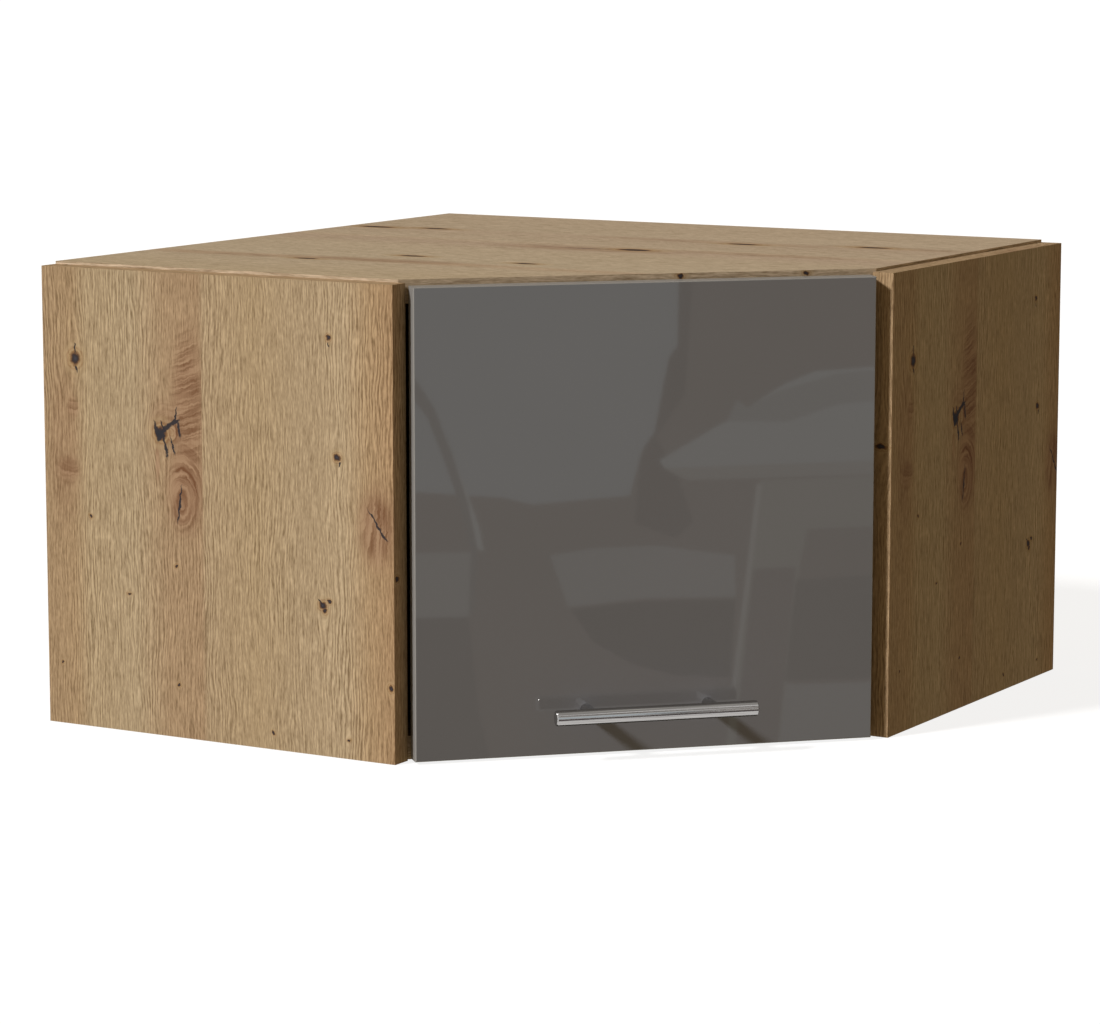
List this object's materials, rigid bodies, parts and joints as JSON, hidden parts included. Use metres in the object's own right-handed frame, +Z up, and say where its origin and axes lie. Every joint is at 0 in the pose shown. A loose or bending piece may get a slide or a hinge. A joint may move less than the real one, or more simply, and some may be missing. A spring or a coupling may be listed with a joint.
{
  "type": "corner wall cabinet",
  "caption": "Diagonal corner wall cabinet with oak decor carcass and a gloss grey flap that swings up on cup hinges and a gas strut, with a steel bar handle.",
  "frame": {"origin": "middle of the square footprint, at the underside", "axes": "+Z up; the walls stand on the -X and +Y sides and meet in the rear corner; the flap faces +X and -Y, at 45 degrees to both"},
  "size_m": [0.6, 0.6, 0.3632],
  "materials": {
    "oak_decor": "oak decor on chipboard, matt, knotty",
    "hardboard": "hardboard, pale lacquered face",
    "batten_wood": "planed softwood",
    "dowel_wood": "turned beech",
    "gloss_grey": "high-gloss grey film on board",
    "brushed_steel": "brushed along the bar",
    "nickel_steel": "nickel-plated pressed steel",
    "zinc_steel": "zinc-plated",
    "zinc_casting": "zinc die casting",
    "black_tube": "black satin paint",
    "chrome_rod": "polished rod",
    "black_plastic": "moulded",
    "white_plastic": "moulded",
    "buffer_rubber": "soft clear-grey"
  },
  "bodies": {
    "carcass": {"left_side_panel": "oak_decor", "right_side_panel": "oak_decor", "top_panel": "oak_decor", "bottom_panel": "oak_decor", "left_back_sheet": "hardboard", "right_back_sheet": "hardboard", "corner_batten": "batten_wood", "back_sheet_screws": "zinc_steel", "cam_locks": "zinc_casting", "cam_bolts": "zinc_steel", "carcass_dowels": "dowel_wood", "left_hanger_body": "white_plastic", "right_hanger_body": "white_plastic", "hanger_adjusting_screws": "zinc_steel", "hanger_fixing_screws": "zinc_steel", "left_hinge_arm": "nickel_steel", "right_hinge_arm": "nickel_steel", "left_hinge_plate": "nickel_steel", "right_hinge_plate": "nickel_steel", "hinge_plate_screws": "zinc_steel", "hinge_arm_screws": "zinc_steel", "strut_cabinet_bracket": "zinc_steel", "strut_cabinet_screws": "zinc_steel"},
    "flap": {"flap_panel": "gloss_grey", "left_hinge_cup": "nickel_steel", "right_hinge_cup": "nickel_steel", "hinge_pins": "nickel_steel", "hinge_cup_screws": "zinc_steel", "strut_flap_bracket": "zinc_steel", "strut_flap_screws": "zinc_steel", "handle_bar": "brushed_steel", "handle_left_post": "brushed_steel", "handle_right_post": "brushed_steel", "handle_screws": "zinc_steel", "flap_bumpers": "buffer_rubber"},
    "strut_cylinder": {"strut_cylinder": "black_tube", "strut_cylinder_socket": "black_plastic", "strut_guide": "black_plastic"},
    "strut_rod": {"strut_rod": "chrome_rod", "strut_rod_socket": "black_plastic", "strut_piston": "black_plastic"},
    "left_hook": {"left_hanger_hook": "zinc_steel"},
    "right_hook": {"right_hanger_hook": "zinc_steel"}
  },
  "joints": [
    {"name": "flap_swing", "type": "hinge", "parent": "carcass", "child": "flap", "pos_m": [0.15795, -0.15795, 0.3515], "axis": [-0.7071, -0.7071, 0], "range_deg": [0, 90]},
    {"name": "strut_cylinder_swing", "type": "hinge", "parent": "carcass", "child": "strut_cylinder", "pos_m": [0.18039, 0.03175, 0.3312], "axis": [-0.7071, -0.7071, 0], "range_deg": [0, 45]},
    {"name": "strut_rod_swing", "type": "hinge", "parent": "flap", "child": "strut_rod", "pos_m": [0.24988, -0.03774, 0.23318], "axis": [-0.7071, -0.7071, 0], "range_deg": [-45, 0]},
    {"name": "left_hook_lift", "type": "slide", "parent": "carcass", "child": "left_hook", "axis": [0, 0, 1], "range_m": [-0.004, 0.004]},
    {"name": "right_hook_lift", "type": "slide", "parent": "carcass", "child": "right_hook", "axis": [0, 0, 1], "range_m": [-0.004, 0.004]}
  ],
  "couplings": [
    {"joint": "strut_cylinder_swing", "follows": "flap_swing", "ratio": 0.5},
    {"joint": "strut_rod_swing", "follows": "flap_swing", "ratio": -0.5}
  ]
}
